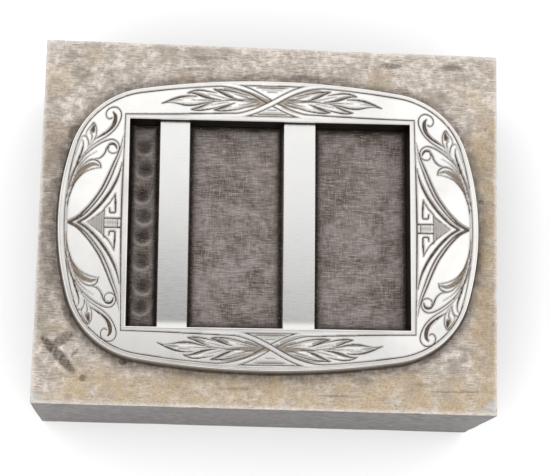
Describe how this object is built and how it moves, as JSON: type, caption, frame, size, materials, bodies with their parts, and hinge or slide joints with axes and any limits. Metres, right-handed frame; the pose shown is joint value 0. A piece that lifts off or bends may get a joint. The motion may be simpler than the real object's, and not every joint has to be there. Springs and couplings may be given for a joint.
{
  "type": "belt buckle forming hub",
  "caption": "Squared steel die block carrying an oval belt buckle frame in polished, engraved relief, its window crossed by bars that divide deep rectangular wells.",
  "frame": {"origin": "centre of the block's underside, the flat face it rests on", "axes": "+Z out of the engraved face, +X along the buckle's length towards the end away from the narrow well, +Y across the buckle"},
  "size_m": [0.0794, 0.0636, 0.0364],
  "materials": {
    "block_steel": "filed and oxidised tool steel, grey beige with golden brown stains",
    "polished_steel": "bright polished steel with dark patina in the engraved lines",
    "satin_steel": "satin steel with fine cross brushing"
  },
  "bodies": {
    "root": {"die_block": "block_steel", "buckle_frame": "polished_steel", "end_cross_bar": "satin_steel", "middle_cross_bar": "satin_steel"}
  },
  "joints": []
}
